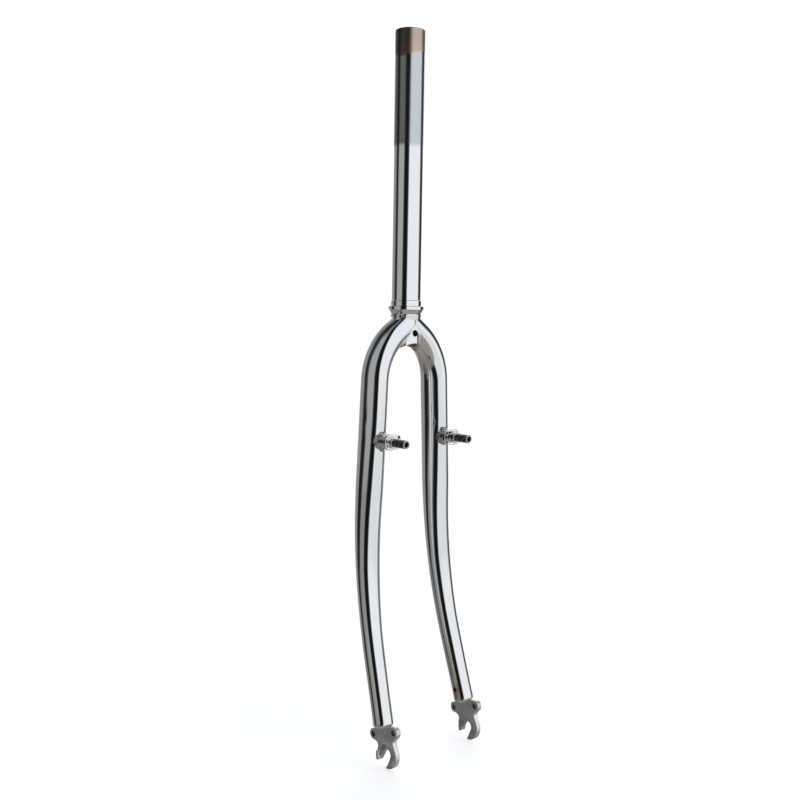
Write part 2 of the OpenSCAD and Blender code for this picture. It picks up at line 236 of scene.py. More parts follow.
def steerer_material():
    material, tree, shader, place = start_material("steerer_plating")
    shader.inputs["Metallic"].default_value = 1.0
    x, y, z = split_axes(tree, place)
    wobble = noise_node(tree, place, 45.0, 2.0)
    height = math_node(tree, "ADD", z, remap(tree, wobble, 0.3, 0.7, -0.0007, 0.0007))
    grey_from = remap(tree, height, 0.1502, 0.1542)
    # The brown of the bare top hangs lower at the right front. The left front side is painted lighter, and
    # its grey bluer, a painted reflection; the other sides are painted darker, a painted shade.
    left_front, left_rear = (0.753, -0.658, 0), (0.658, 0.753, 0)
    painted_sheen_side = axis_share(tree, place, left_front, -0.0045, 0.0030)
    far_side = axis_share(tree, place, left_front, -0.0030, 0.0080)
    rear = axis_share(tree, place, left_rear, -0.0120, -0.0020)
    sag = math_node(tree, "MULTIPLY", math_node(tree, "SUBTRACT", 1.0, far_side),
                    math_node(tree, "SUBTRACT", 1.0, rear))
    line = math_node(tree, "ADD", height, math_node(tree, "MULTIPLY", sag, 0.0045))
    brown_from = remap(tree, line, 0.2388, 0.2408)
    near_line = math_node(tree, "MULTIPLY", remap(tree, line, 0.2500, 0.2410), brown_from)
    polish = place_group(tree, POLISH, Position=place, Roughness=0.02, Haze=0.02)
    streaks = tree.nodes.new("ShaderNodeMapping")
    streaks.inputs["Scale"].default_value = (1.0, 1.0, 0.12)
    tree.links.new(place, streaks.inputs["Vector"])
    rubbed = remap(tree, noise_node(tree, streaks.outputs[0], 150.0, 4.0, 0.6), 0.35, 0.7)
    # Painted reflection and shade: the grey and the brown are lighter on the left front side and darker on
    # the others.
    dark_grey = mix_colour(tree, rubbed, (0.30, 0.305, 0.31, 1), (0.24, 0.24, 0.24, 1))
    grey = mix_colour(tree, painted_sheen_side, dark_grey, (0.57, 0.585, 0.62, 1))
    blotches = remap(tree, noise_node(tree, place, 110.0, 4.0, 0.65), 0.35, 0.7)
    dark_brown = mix_colour(tree, blotches, (0.14, 0.10, 0.088, 1), (0.08, 0.058, 0.052, 1))
    brown = mix_colour(tree, painted_sheen_side, dark_brown, (0.53, 0.43, 0.37, 1))
    straw = mix_colour(tree, painted_sheen_side, (0.17, 0.115, 0.08, 1), (0.66, 0.47, 0.31, 1))
    brown = mix_colour(tree, math_node(tree, "MULTIPLY", near_line, 0.75), brown, straw)
    base = mix_colour(tree, grey_from, CHROME, grey)
    base = mix_colour(tree, brown_from, base, brown)
    base = mix_colour(tree, polish.outputs["Specks"], base, (0.22, 0.20, 0.18, 1))
    # Inside the tube and the bolt hole there is no plating, only rust.
    inside = remap(tree, apart(tree, x, 0.0, y, 0.0), STEERER_R - 0.00025, STEERER_R - 0.00045)
    rust = mix_colour(tree, blotches, (0.045, 0.028, 0.018, 1), (0.16, 0.075, 0.03, 1))
    mouth = remap(tree, z, -0.0330, -0.0355)
    rust = mix_colour(tree, mouth, rust, (0.52, 0.44, 0.38, 1))
    base = mix_colour(tree, inside, base, rust)
    tree.links.new(base, shader.inputs["Base Color"])
    add_roughness(tree, shader, polish.outputs["Roughness"],
                  ((grey_from, 0.16), (brown_from, 0.17), (inside, 0.4)))
    add_bump(tree, shader, polish.outputs["Height"], 0.000006, 0.15)
    return material


def finish_node(name, material):
    """Gives a CAD node its finish."""
    for slot in nodes[name].material_slots:
        slot.material = material


finish_node("steerer_tube", steerer_material())

# Crown flange ring: a turned steel ring that is pressed on the steerer and welded below. Its top is
# the shoulder that the headset race rests on, and it is chromed with the rest.


def chrome_material(name, roughness, haze, tint=CHROME):
    """Plain chrome plate for a turned part."""
    material, tree, shader, place = start_material(name)
    shader.inputs["Metallic"].default_value = 1.0
    polish = place_group(tree, POLISH, Position=place, Roughness=roughness, Haze=haze)
    base = mix_colour(tree, polish.outputs["Specks"], tint, SPECK)
    tree.links.new(base, shader.inputs["Base Color"])
    tree.links.new(polish.outputs["Roughness"], shader.inputs["Roughness"])
    add_bump(tree, shader, polish.outputs["Height"], 0.00001, 0.25)
    return material


finish_node("crown_flange_ring", chrome_material("turned_chrome", 0.03, 0.03))

# Fork blades: drawn and tapered steel tubes, pressed oval at the top, bent out and down at the crown
# and forward near the wheel, mitred to the steerer and welded, then polished and chromed with it.
BLADE_R, LOW_R, MID_R = 0.01375, 0.0096, 0.01024
BLADE_OVAL, CROWN_OVAL = 0.0041, 0.0016
CROWN_RUN, CROWN_BEND, CROWN_APEX = 0.0174, 0.060, -0.0154
CROWN_ANGLE, BLADE_LEAN, RAKE_SLOPE = math.radians(53.3), math.radians(2.56), math.radians(16.56)
RAKE_TOP, RAKE_R = -0.190, 0.4934
TAPER_TOP, TAPER_MID, TAPER_END = -0.1738, -0.3078, -0.3650
OVAL_TOP, OVAL_FADE = -0.110, 0.140
BLADE_END, BLADE_DOME, BLADE_WALL = -0.388, 0.0055, 0.0012
BEND_LEN = CROWN_BEND * (CROWN_ANGLE - BLADE_LEAN)
BLADE_SIDES = 96


def between(low, high, t):
    return low + (high - low) * min(1.0, max(0.0, t))


def rake_angle(z):
    """Forward slope of a blade at a height."""
    if z > RAKE_TOP:
        return 0.0
    return min(RAKE_SLOPE, math.asin(min(1.0, (RAKE_TOP - z) / RAKE_R)))


def forward(z):
    """How far a blade's axis is in front of the steerer at a height."""
    angle = rake_angle(z)
    bent = RAKE_R * (1 - math.cos(angle))
    if angle < RAKE_SLOPE:
        return bent
    return bent + (RAKE_TOP - RAKE_R * math.sin(RAKE_SLOPE) - z) * math.tan(RAKE_SLOPE)


def bend_lean(d):
    """Outward lean of a blade, a distance along its run and upper bend."""
    return CROWN_ANGLE - max(0.0, d - CROWN_RUN) / CROWN_BEND


def crown_axis(d):
    """Outward place and height of the blade's axis, a distance along its run and upper bend."""
    if d < CROWN_RUN:
        return d * math.sin(CROWN_ANGLE), CROWN_APEX - d * math.cos(CROWN_ANGLE)
    lean = bend_lean(d)
    return (CROWN_RUN * math.sin(CROWN_ANGLE) + CROWN_BEND * (math.cos(lean) - math.cos(CROWN_ANGLE)),
            CROWN_APEX - CROWN_RUN * math.cos(CROWN_ANGLE)
            - CROWN_BEND * (math.sin(CROWN_ANGLE) - math.sin(lean)))


LEG_X, LEG_TOP = crown_axis(CROWN_RUN + BEND_LEN)


def blade_radius(z):
    if z > TAPER_MID:
        return between(BLADE_R, MID_R, (TAPER_TOP - z) / (TAPER_TOP - TAPER_MID))
    return between(MID_R, LOW_R, (TAPER_MID - z) / (TAPER_MID - TAPER_END))


def section_point(x, z, lean, radius, oval, turn, grow):
    """A point of the blade's oval section at an axis point, at an angle round it."""
    slope = rake_angle(z)
    axis = Vector((math.tan(lean), -math.tan(slope), -1)).normalized()
    wide = Vector((0, -1, 0)).cross(axis).normalized()
    deep = axis.cross(wide)
    centre = Vector((x, -forward(z), z))
    return (centre + (radius - oval / 2 + grow) * math.cos(turn) * wide
            + (radius + oval / 2 + grow) * math.sin(turn) * deep)


def crown_point(d, turn, grow=0.0):
    x, z = crown_axis(d)
    oval = CROWN_OVAL + (BLADE_OVAL - CROWN_OVAL) * max(0.0, d - CROWN_RUN) / BEND_LEN
    return section_point(x, z, bend_lean(d), BLADE_R, oval, turn, grow)


def leg_point(z, turn, grow=0.0):
    x = LEG_X + (LEG_TOP - z) * math.tan(BLADE_LEAN)
    oval = between(BLADE_OVAL, 0.0, (OVAL_TOP - z) / OVAL_FADE)
    return section_point(x, z, BLADE_LEAN, blade_radius(z), oval, turn, grow)


def mitre(turn, grow, reach):
    """Where a line of the blade's skin meets a cylinder round the steerer, or the middle plane."""
    d = 0.010
    for _ in range(8):
        p = crown_point(d, turn, grow)
        wall = math.sqrt(reach * reach - p.y * p.y) if abs(p.y) < reach else 0.0
        d += (wall - p.x) / math.sin(bend_lean(d))
    return d


def to_mesh(name, rows, closed=True, side=1):
    """A quad skin through rows of points. side -1 mirrors it to the rider's right."""
    mesh = bmesh.new()
    grid = [[mesh.verts.new((p[0] * side, p[1], p[2])) for p in row] for row in rows]
    count = len(rows[0])
    for upper, lower in zip(grid, grid[1:]):
        for k in range(count if closed else count - 1):
            n = (k + 1) % count
            corners = [upper[k], lower[k], lower[n], upper[n]]
            mesh.faces.new(corners if side > 0 else corners[::-1])
    return mesh, grid


def to_piece(mesh, name, material, smooth=True):
    """Turns a bmesh into an object that rides on the fork."""
    data = bpy.data.meshes.new(name)
    mesh.to_mesh(data)
    mesh.free()
    for face in data.polygons:
        face.use_smooth = smooth
    data.materials.append(material)
    piece = bpy.data.objects.new(name, data)
    bpy.context.scene.collection.objects.link(piece)
    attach(piece, "root")
    return piece


def blade_rows():
    """The rings of points that a blade's skin runs through, from its mitre down to its round end."""
    turns = [2 * math.pi * k / BLADE_SIDES for k in range(BLADE_SIDES)]
    starts = [mitre(t, 0.0, STEERER_R) for t in turns]
    inner = [mitre(t, -BLADE_WALL, STEERER_R) for t in turns]
    rows = [[crown_point(d, t, -BLADE_WALL) for d, t in zip(inner, turns)]]
    end = CROWN_RUN + BEND_LEN
    steps = 56
    for i in range(steps):
        share = i / steps
        rows.append([crown_point(d + (end - d) * share, t) for d, t in zip(starts, turns)])
    heights = [LEG_TOP + (RAKE_TOP - LEG_TOP) * i / 30 for i in range(31)]
    heights += [RAKE_TOP + (BLADE_END - RAKE_TOP) * i / 60 for i in range(1, 57)]
    # Close rows round the vent hole.
    heights += [-0.3750 - 0.0007 * i for i in range(12)] + [-0.3845, -0.3862, BLADE_END]
    rows += [[leg_point(z, t) for t in turns] for z in heights]
    lean_x = LEG_X + (LEG_TOP - BLADE_END) * math.tan(BLADE_LEAN)
    axis = Vector((math.tan(BLADE_LEAN), -math.tan(RAKE_SLOPE), -1)).normalized()
    centre = Vector((lean_x, -forward(BLADE_END), BLADE_END))
    for i in range(1, 15):
        a = math.radians(90 * i / 14.3)
        ring = [leg_point(BLADE_END, t) - centre for t in turns]
        rows.append([centre + axis * BLADE_DOME * math.sin(a) + p * math.cos(a) for p in ring])
    return rows


VENT_Z, VENT_R, VENT_SIDES = -0.379, 0.0016, 24


def blade_material():
    """Chrome with brown film under the crown, with rust and haze round and below the vent, and painted shade
    in the vent's bore.
    """
    material, tree, shader, place = start_material("blade_chrome")
    shader.inputs["Metallic"].default_value = 1.0
    x, y, height = split_axes(tree, place)
    side_x = math_node(tree, "ABSOLUTE", x)
    clouds = remap(tree, noise_node(tree, place, 120.0, 4.0, 0.6), 0.35, 0.65)
    under = remap(tree, apart(tree, side_x, -0.0219, height, -0.0739), 0.0545, 0.0490)
    under = math_node(tree, "MULTIPLY", under, remap(tree, height, -0.0730, -0.0480))
    lean = math_node(tree, "MULTIPLY_ADD", height, math.tan(BLADE_LEAN), side_x)
    inboard = remap(tree, lean, 0.0300, 0.0272)
    film = math_node(tree, "MULTIPLY", inboard, remap(tree, height, -0.3180, -0.3520))
    film = math_node(tree, "MULTIPLY", film, remap(tree, clouds, 0.0, 1.0, 0.35, 1.0))
    from_vent = apart(tree, y, -forward(VENT_Z), height, VENT_Z)
    ring = math_node(tree, "MULTIPLY", inboard, remap(tree, from_vent, 0.0034, 0.0018))
    beside = math_node(tree, "ABSOLUTE", math_node(tree, "SUBTRACT", y, -forward(VENT_Z)))
    streak = math_node(tree, "MULTIPLY", remap(tree, beside, 0.0050, 0.0012), inboard)
    streak = math_node(tree, "MULTIPLY", streak, remap(tree, height, -0.3780, -0.3815, 0.0, 0.75))
    # Painted shade: the vent's bore is painted near black, for the dark inside of the tube.
    hole = math_node(tree, "MULTIPLY", inboard, remap(tree, from_vent, 0.00168, 0.00158))
    cap = remap(tree, height, -0.3860, -0.3885)

    polish = place_group(tree, POLISH, Position=place, Roughness=0.018, Haze=0.02)
    base = mix_colour(tree, polish.outputs["Specks"], CHROME, SPECK)
    base = mix_colour(tree, math_node(tree, "MULTIPLY", under, 0.85), base, (0.80, 0.67, 0.58, 1))
    base = mix_colour(tree, math_node(tree, "MULTIPLY", film, 0.75), base, (0.56, 0.52, 0.40, 1))
    base = mix_colour(tree, cap, base, (0.70, 0.69, 0.67, 1))
    base = mix_colour(tree, streak, base, (0.50, 0.33, 0.17, 1))
    base = mix_colour(tree, ring, base, (0.24, 0.11, 0.045, 1))
    base = mix_colour(tree, hole, base, (0.02, 0.014, 0.01, 1))
    tree.links.new(base, shader.inputs["Base Color"])
    add_roughness(tree, shader, polish.outputs["Roughness"],
                  ((under, 0.035), (film, 0.14), (streak, 0.2), (ring, 0.35), (cap, 0.2)))
    add_bump(tree, shader, polish.outputs["Height"], 0.00001, 0.25)
    return material


def drill_vent(mesh, side):
    """Cuts the vent hole into the inboard side of a blade, with the edge of its wall and an end; the blade's
    material paints the bore dark as painted shade.
    """
    blade_r = 0.0098

    def ring(r, grow):
        places = []
        for k in range(VENT_SIDES):
            a = 2 * math.pi * k / VENT_SIDES
            places.append(leg_point(VENT_Z + r * math.sin(a), math.pi + r * math.cos(a) / blade_r, grow))
        return [mesh.verts.new((p.x * side, p.y, p.z)) for p in places]

    middle = leg_point(VENT_Z, math.pi)
    middle.x *= side
    inside = [f for f in mesh.faces if (f.calc_center_median() - middle).length < 0.0024]
    bmesh.ops.delete(mesh, geom=inside, context="FACES")
    rim = [e for e in mesh.edges if e.is_boundary and (e.verts[0].co - middle).length < 0.005]
    steps = ((VENT_R + 0.0002, 0.0), (VENT_R, -0.0002), (VENT_R, -BLADE_WALL), (VENT_R, -0.005))
    rings = [ring(r, grow) for r, grow in steps]
    for outer, inner in zip(rings, rings[1:]):
        for k in range(VENT_SIDES):
            n = (k + 1) % VENT_SIDES
            corners = [outer[k], outer[n], inner[n], inner[k]]
            mesh.faces.new(corners if side < 0 else corners[::-1])
    mesh.faces.new(rings[-1] if side < 0 else rings[-1][::-1])
    edge = [mesh.edges.get((rings[0][k - 1], rings[0][k])) for k in range(VENT_SIDES)]
    bmesh.ops.bridge_loops(mesh, edges=rim + edge)
    bmesh.ops.recalc_face_normals(mesh, faces=mesh.faces)


BLADE_CHROME = blade_material()
for side, hand in ((1, "left"), (-1, "right")):
    skin, grid = to_mesh("blade", blade_rows(), True, side)
    last = grid[-1]
    skin.faces.new(last if side < 0 else last[::-1])
    drill_vent(skin, side)
    blade = to_piece(skin, "blade_tube_" + hand, BLADE_CHROME)
    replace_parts(blade, "blade_" + hand)

# Crown weld: the bead in the corner between the flange ring, the steerer and the blades.
# It was laid by hand, so it is lumpy, and the chrome over it shows every ripple.
WELD_CHROME = chrome_material("weld_chrome", 0.05, 0.08, (0.76, 0.77, 0.785, 1))
WELD_TOP, WELD_HEIGHT = -0.0077, 0.0055
FOOT_TOP, FOOT_ARCH_R = -0.0355, 0.01898


def lump(angle, middle, spread):
    """How strongly a spot round the crown is lumpy: 1 at the middle angle, fading over the spread."""
    off = (angle - middle + math.pi) % (2 * math.pi) - math.pi
    return math.exp(-(off / spread) ** 2)


def weld_ring():
    """The bead, thin and even but for two lumpy stretches, one of them facing the near front."""
    near = math.atan2(camera_back.y, camera_back.x) - math.radians(27)
    rows = []
    for i in range(17):
        t = i / 16
        row = []
        for k in range(180):
            a = 2 * math.pi * k / 180
            bulge = 0.00045 * math.sin(math.pi * math.sqrt(t))
            rough = 0.12 + lump(a, near, 0.45) + 0.7 * lump(a, near + 2.6, 0.4)
            spot = Vector((math.cos(a) * 6.5, math.sin(a) * 6.5, t * 2.4))
            ripple = noise.noise(spot) * 0.00085 * rough * math.sin(math.pi * t)
            r = STEERER_R + 0.0004 * (1 - t) + bulge + ripple
            row.append((r * math.cos(a), r * math.sin(a), WELD_TOP - WELD_HEIGHT * t))
        rows.append(row[::-1])
    return to_mesh("weld", rows)[0]


crown_weld = to_piece(weld_ring(), "crown_weld_bead", WELD_CHROME)
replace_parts(crown_weld, "crown_weld")


def ball_size(turn):
    """Radius of the blend round a blade's joint: wide at the front and back, tight above and below."""
    off = abs((math.degrees(turn) + 180) % 360 - 180)
    if off < 78:
        return between(0.0013, 0.0055, (off - 35) / 43)
    if off < 160:
        return between(0.0055, 0.0014, (off - 98) / 27)
    return between(0.0014, 0.0003, (off - 160) / 20)


def foot_edge(x):
    """Height of the arched lower edge of the steerer."""
    return FOOT_TOP - FOOT_ARCH_R + math.sqrt(max(0.0, FOOT_ARCH_R ** 2 - x * x))


def crown_fillet(side):
    """The smooth braze in the corner between a blade and the steerer, and between the two blades."""
    rows = []
    for k in range(181):
        turn = 2 * math.pi * k / 180
        ball = ball_size(turn)
        while True:
            centre = crown_point(mitre(turn, ball, STEERER_R + ball), turn, ball)
            share = STEERER_R / (STEERER_R + ball)
            if ball < 0.0002 or centre.z > foot_edge(centre.x * share) + 0.0001:
                break
            ball *= 0.8
        on_blade = crown_point(mitre(turn, ball, STEERER_R + ball), turn)
        first = (on_blade - centre).normalized()
        if centre.x > 1e-5:
            last = (Vector((centre.x * share, centre.y * share, centre.z)) - centre).normalized()
        else:
            last = Vector((0, first.y, first.z)).normalized()
        row = [centre + first.slerp(last, i / 12, first) * ball for i in range(13)]
        rows.append(row)
    return to_mesh("fillet", rows, False, side)[0]


for side, hand in ((1, "left"), (-1, "right")):
    to_piece(crown_fillet(side), "crown_fillet_" + hand, BLADE_CHROME)

# Brake bosses: turned steel feet with a shoulder, welded to the front of the blades by hand and
# chromed with them. The beads are lumpy, and the polish could not reach into their corners.
STUD_X, STUD_Z = 0.040, -0.1271
FOOT_R, SHOULDER_R, PLATE_BACK, PLATE_FRONT, SHOULDER_END = 0.0065, 0.0053, 0.0253, 0.0288, 0.0340
BOSS_CHROME = chrome_material("boss_chrome", 0.04, 0.05, (0.79, 0.80, 0.81, 1))


def soften(profile, radius):
    """Rounds the corners of a (radius, forward) outline and keeps its long lines straight."""
    points = [Vector(p) for p in profile]
    out = [points[0]]
    for before, corner, after in zip(points, points[1:], points[2:]):
        cut = min(radius, (before - corner).length * 0.4, (after - corner).length * 0.4)
        start = corner + (before - corner).normalized() * cut
        end = corner + (after - corner).normalized() * cut
        out.append(corner + (before - corner).normalized() * cut * 1.2)
        for i in range(6):
            t = i / 5
            out.append(start * (1 - t) ** 2 + corner * 2 * t * (1 - t) + end * t * t)
        out.append(corner + (after - corner).normalized() * cut * 1.2)
    return out + [points[-1]]


def turned_part(profile, side, count=96):
    """A skin turned round a brake stud's axis from a (radius, forward) outline."""
    rows = []
    for r, front in profile:
        turns = [-2 * math.pi * k / count for k in range(count)]
        rows.append([(STUD_X + r * math.cos(a), -front, STUD_Z + r * math.sin(a)) for a in turns])
    return to_mesh("turned", rows, True, side)[0]


def blade_front(x, z):
    """How far forward the blade's skin is at a place beside its axis, at the height of the boss."""
    middle = LEG_X + (LEG_TOP - z) * math.tan(BLADE_LEAN)
    off = (x - middle) / (BLADE_R - BLADE_OVAL / 2)
    return (BLADE_R + BLADE_OVAL / 2) * math.sqrt(max(0.02, 1 - off * off))


def boss_bead(side):
    """A lumpy concave bead round the foot; its foot is widest at the bottom and the top."""
    rows = []
    for k in range(144):
        a = -2 * math.pi * k / 144
        lumps = noise.noise(Vector((math.cos(a) * 2.6, math.sin(a) * 2.6, 3.0 * side)))
        drip = math.exp(-((a % (2 * math.pi) - 1.5 * math.pi) / 0.5) ** 2)
        crest = math.exp(-((a % (2 * math.pi) - 0.5 * math.pi) / 0.45) ** 2)
        wide = 0.0021 * (1 + 0.35 * lumps) + drip * (0.0017 if side < 0 else 0.0004) + crest * 0.0006
        high = 0.0030 * (1 + 0.3 * lumps) + drip * 0.0012 + crest * 0.0008
        foot_x, foot_z = FOOT_R * math.cos(a), FOOT_R * math.sin(a)
        edge_x, edge_z = (FOOT_R + wide) * math.cos(a), (FOOT_R + wide) * math.sin(a)
        top = Vector((foot_x, blade_front(STUD_X + foot_x, STUD_Z + foot_z) + high, foot_z))
        low = Vector((edge_x, blade_front(STUD_X + edge_x, STUD_Z + edge_z) - 0.0002, edge_z))
        corner = Vector((foot_x, top.y - high, foot_z)).lerp((top + low) / 2, 0.42)
        row = []
        for i in range(15):
            t = i / 14
            p = top * (1 - t) ** 2 + corner * 2 * t * (1 - t) + low * t * t
            lift = noise.noise(p * 560 + Vector((0, 0, 5 * side))) * 0.0008 * math.sin(math.pi * t)
            out = Vector((math.cos(a), 1, math.sin(a))).normalized()
            p += out * lift
            row.append((STUD_X + p.x, -p.y, STUD_Z + p.z))
        rows.append(row)
    rows.append(rows[0])
    return to_mesh("bead", rows, False, side)[0]


def bead_material():
    """Weld bead under chrome: bright on its lumps, dull and brown in its corners."""
    material, tree, shader, place = start_material("boss_bead_chrome")
    shader.inputs["Metallic"].default_value = 1.0
    x, _, z = split_axes(tree, place)
    spots = remap(tree, noise_node(tree, place, 520.0, 3.0, 0.6), 0.42, 0.62)
    low = remap(tree, z, -0.1305, -0.1350)
    inner = remap(tree, x, 0.0350, 0.0325)
    far = math_node(tree, "GREATER_THAN", x, 0.0)
    brown = math_node(tree, "MULTIPLY", math_node(tree, "MULTIPLY", inner, far), 0.85)
    base = mix_colour(tree, spots, (0.72, 0.72, 0.72, 1), (0.34, 0.33, 0.32, 1))
    base = mix_colour(tree, math_node(tree, "MULTIPLY", low, 0.7), base, (0.42, 0.45, 0.42, 1))
    base = mix_colour(tree, brown, base, (0.16, 0.095, 0.06, 1))
    tree.links.new(base, shader.inputs["Base Color"])
    rough = math_node(tree, "ADD", remap(tree, spots, 0.0, 1.0, 0.06, 0.22),
                      math_node(tree, "MULTIPLY", brown, 0.25))
    tree.links.new(rough, shader.inputs["Roughness"])
    add_bump(tree, shader, noise_node(tree, place, 900.0, 2.0), 0.00008, 0.5)
    return material


BEAD_CHROME = bead_material()
BOSS_PROFILE = soften([(FOOT_R, 0.007), (FOOT_R, PLATE_BACK), (SHOULDER_R, PLATE_BACK),
                       (SHOULDER_R, SHOULDER_END), (0.0040, SHOULDER_END), (0.0035, SHOULDER_END)], 0.0004)
for side, hand in ((1, "left"), (-1, "right")):
    boss = to_piece(turned_part(BOSS_PROFILE, side), "brake_boss_turned_" + hand, BOSS_CHROME)
    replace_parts(boss, "brake_boss_" + hand)
    bead = to_piece(boss_bead(side), "boss_weld_bead_" + hand, BEAD_CHROME)
    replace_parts(bead, "boss_weld_" + hand)

# Spring plates: thick pressed washers on the shoulder of each boss, with a rounded inboard tab and
# three holes for the end of the brake spring; brazed on and chromed with the boss.
PLATE_R, TAB_REACH, TAB_HALF, TAB_CORNER = 0.0080, 0.0123, 0.0070, 0.0055
HOLE_R = 0.0013
# Places of the spring holes from the stud's axis, outward and up.
HOLES = [(0.010 * math.cos(math.radians(turn)), 0.010 * math.sin(math.radians(turn)))
         for turn in (155, 180, 205)]


def arc(x, y, r, start, end, count):
    """Points along an arc, from one angle in degrees to another."""
    angles = [math.radians(start + (end - start) * i / count) for i in range(count + 1)]
    return [(x + r * math.cos(a), y + r * math.sin(a)) for a in angles]


def plate_material():
    """The bosses' chrome, with the three spring holes painted dark inside, a painted shade."""
    material, tree, shader, place = start_material("spring_plate_chrome")
    shader.inputs["Metallic"].default_value = 1.0
    x, _, z = split_axes(tree, place)
    side_x = math_node(tree, "ABSOLUTE", x)
    polish = place_group(tree, POLISH, Position=place, Roughness=0.03, Haze=0.05)
    base = mix_colour(tree, polish.outputs["Specks"], (0.79, 0.80, 0.81, 1), SPECK)
    for out, up in HOLES:
        # Painted shade: each spring hole's wall is painted near black.
        dark = remap(tree, apart(tree, side_x, STUD_X + out, z, STUD_Z + up), 0.00140, 0.00132)
        base = mix_colour(tree, dark, base, (0.035, 0.03, 0.028, 1))
    tree.links.new(base, shader.inputs["Base Color"])
    tree.links.new(polish.outputs["Roughness"], shader.inputs["Roughness"])
    add_bump(tree, shader, polish.outputs["Height"], 0.00001, 0.25)
    return material


PLATE_CHROME = plate_material()


def spring_plate(hand, side, edge=0.0004):
    """A plate as a flat drawing with holes, given its thickness and rounded edges, on its boss."""
    meet = math.degrees(math.acos(-math.sqrt(PLATE_R ** 2 - TAB_HALF ** 2) / PLATE_R))
    tab_x, tab_y = -TAB_REACH + TAB_CORNER, TAB_HALF - TAB_CORNER
    outline = arc(0, 0, PLATE_R, -meet, meet, 64)
    outline += arc(tab_x, tab_y, TAB_CORNER, 90, 180, 16) + arc(tab_x, -tab_y, TAB_CORNER, 180, 270, 16)
    loops = [outline, arc(0, 0, SHOULDER_R, 0, 360 - 5.625, 63)]
    loops += [arc(out, up, HOLE_R, 0, 345, 23) for out, up in HOLES]
    curve = bpy.data.curves.new("spring_plate_outline", "CURVE")
    curve.dimensions = "2D"
    curve.fill_mode = "BOTH"
    curve.extrude = (PLATE_FRONT - PLATE_BACK) / 2 - edge
    curve.bevel_depth = edge
    curve.bevel_resolution = 2
    curve.offset = -edge
    for loop in loops:
        spline = curve.splines.new("POLY")
        spline.points.add(len(loop) - 1)
        for point, (x, y) in zip(spline.points, loop):
            point.co = (x * side, y, 0, 1)
        spline.use_cyclic_u = True
    drawing = bpy.data.objects.new("spring_plate_outline", curve)
    solid = bpy.data.meshes.new_from_object(drawing)
    bpy.data.objects.remove(drawing)
    mesh = bmesh.new()
    mesh.from_mesh(solid)
    bmesh.ops.remove_doubles(mesh, verts=mesh.verts, dist=1e-7)
    stand = Matrix(((1, 0, 0, STUD_X * side), (0, 0, -1, -(PLATE_FRONT + PLATE_BACK) / 2),
                    (0, 1, 0, STUD_Z), (0, 0, 0, 1)))
    mesh.transform(stand)
    plate = to_piece(mesh, "spring_plate_pressed_" + hand, PLATE_CHROME)
    weighted = plate.modifiers.new("weighted", "WEIGHTED_NORMAL")
    weighted.keep_sharp = False
    return plate


for side, hand in ((1, "left"), (-1, "right")):
    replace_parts(spring_plate(hand, side), "spring_plate_" + hand)

# Brake studs: bare turned pins, pressed into the bosses, with a threaded bore in the open end. The
# brake arm has worn slanting marks into them, and the steel has gone nearly black but for the rim.
STUD_R, STUD_TIP, THREAD_R, THREAD_DEPTH = 0.0040, 0.0502, 0.0025, 0.018


def stud_material():
    """Dark rusty steel with bright slanting marks and a bare bright rim."""
    material, tree, shader, place = start_material("bare_stud_steel")
    shader.inputs["Metallic"].default_value = 1.0
    _, y, _ = split_axes(tree, place)
    hatch = tree.nodes.new("ShaderNodeTexWave")
    hatch.bands_direction = "DIAGONAL"
    hatch.inputs["Scale"].default_value = 95.0
    hatch.inputs["Distortion"].default_value = 2.5
    hatch.inputs["Detail"].default_value = 2.0
    tree.links.new(place, hatch.inputs["Vector"])
    marks = remap(tree, hatch.outputs["Fac"], 0.55, 0.9)
    rust = remap(tree, noise_node(tree, place, 300.0, 5.0, 0.7), 0.42, 0.66)
    base = mix_colour(tree, rust, (0.085, 0.078, 0.075, 1), (0.05, 0.033, 0.024, 1))
    base = mix_colour(tree, math_node(tree, "MULTIPLY", marks, 0.75), base, (0.30, 0.275, 0.25, 1))
    rim = remap(tree, y, 0.0009 - STUD_TIP, 0.0006 - STUD_TIP)
    base = mix_colour(tree, rim, base, (0.78, 0.76, 0.74, 1))
    tree.links.new(base, shader.inputs["Base Color"])
    tree.links.new(remap(tree, rust, 0.0, 1.0, 0.22, 0.5), shader.inputs["Roughness"])
    add_bump(tree, shader, hatch.outputs["Fac"], 0.00012, 0.6)
    return material


def thread_material():
    """Rusty thread inside the stud's bore."""
    material, tree, shader, place = start_material("stud_thread")
    turns = tree.nodes.new("ShaderNodeTexWave")
    turns.bands_direction = "Y"
    turns.inputs["Scale"].default_value = 314.0
    tree.links.new(place, turns.inputs["Vector"])
    base = mix_colour(tree, turns.outputs["Fac"], (0.045, 0.028, 0.018, 1), (0.30, 0.17, 0.10, 1))
    tree.links.new(base, shader.inputs["Base Color"])
    shader.inputs["Metallic"].default_value = 0.7
    shader.inputs["Roughness"].default_value = 0.45
    add_bump(tree, shader, turns.outputs["Fac"], 0.0003, 0.6)
    return material


STUD_STEEL = stud_material()
STUD_THREAD = thread_material()
STUD_PROFILE = soften([(STUD_R, 0.0325), (STUD_R, STUD_TIP - 0.0006), (0.0034, STUD_TIP), (0.0031, STUD_TIP),
                       (THREAD_R, STUD_TIP - 0.0006), (THREAD_R, STUD_TIP - 0.0015)], 0.00015)
BORE_PROFILE = [(THREAD_R, STUD_TIP - 0.0015), (THREAD_R, STUD_TIP - THREAD_DEPTH),
                (0.0001, STUD_TIP - THREAD_DEPTH)]
for side, hand in ((1, "left"), (-1, "right")):
    stud = to_piece(turned_part(STUD_PROFILE, side), "brake_stud_turned_" + hand, STUD_STEEL)
    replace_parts(stud, "brake_stud_" + hand)
    to_piece(turned_part(BORE_PROFILE, side, 64), "stud_thread_" + hand, STUD_THREAD, False)

# Dropouts: cut from thick plate and welded into the blade ends, then tumbled so that every edge is
# round. Their plating is thin and dull, and it has gone brown round the axle slot.
AXLE_Y, AXLE_Z = -0.046, -0.4144
EYELETS = ((-0.0266, -0.4008), (-0.05465, -0.3915))


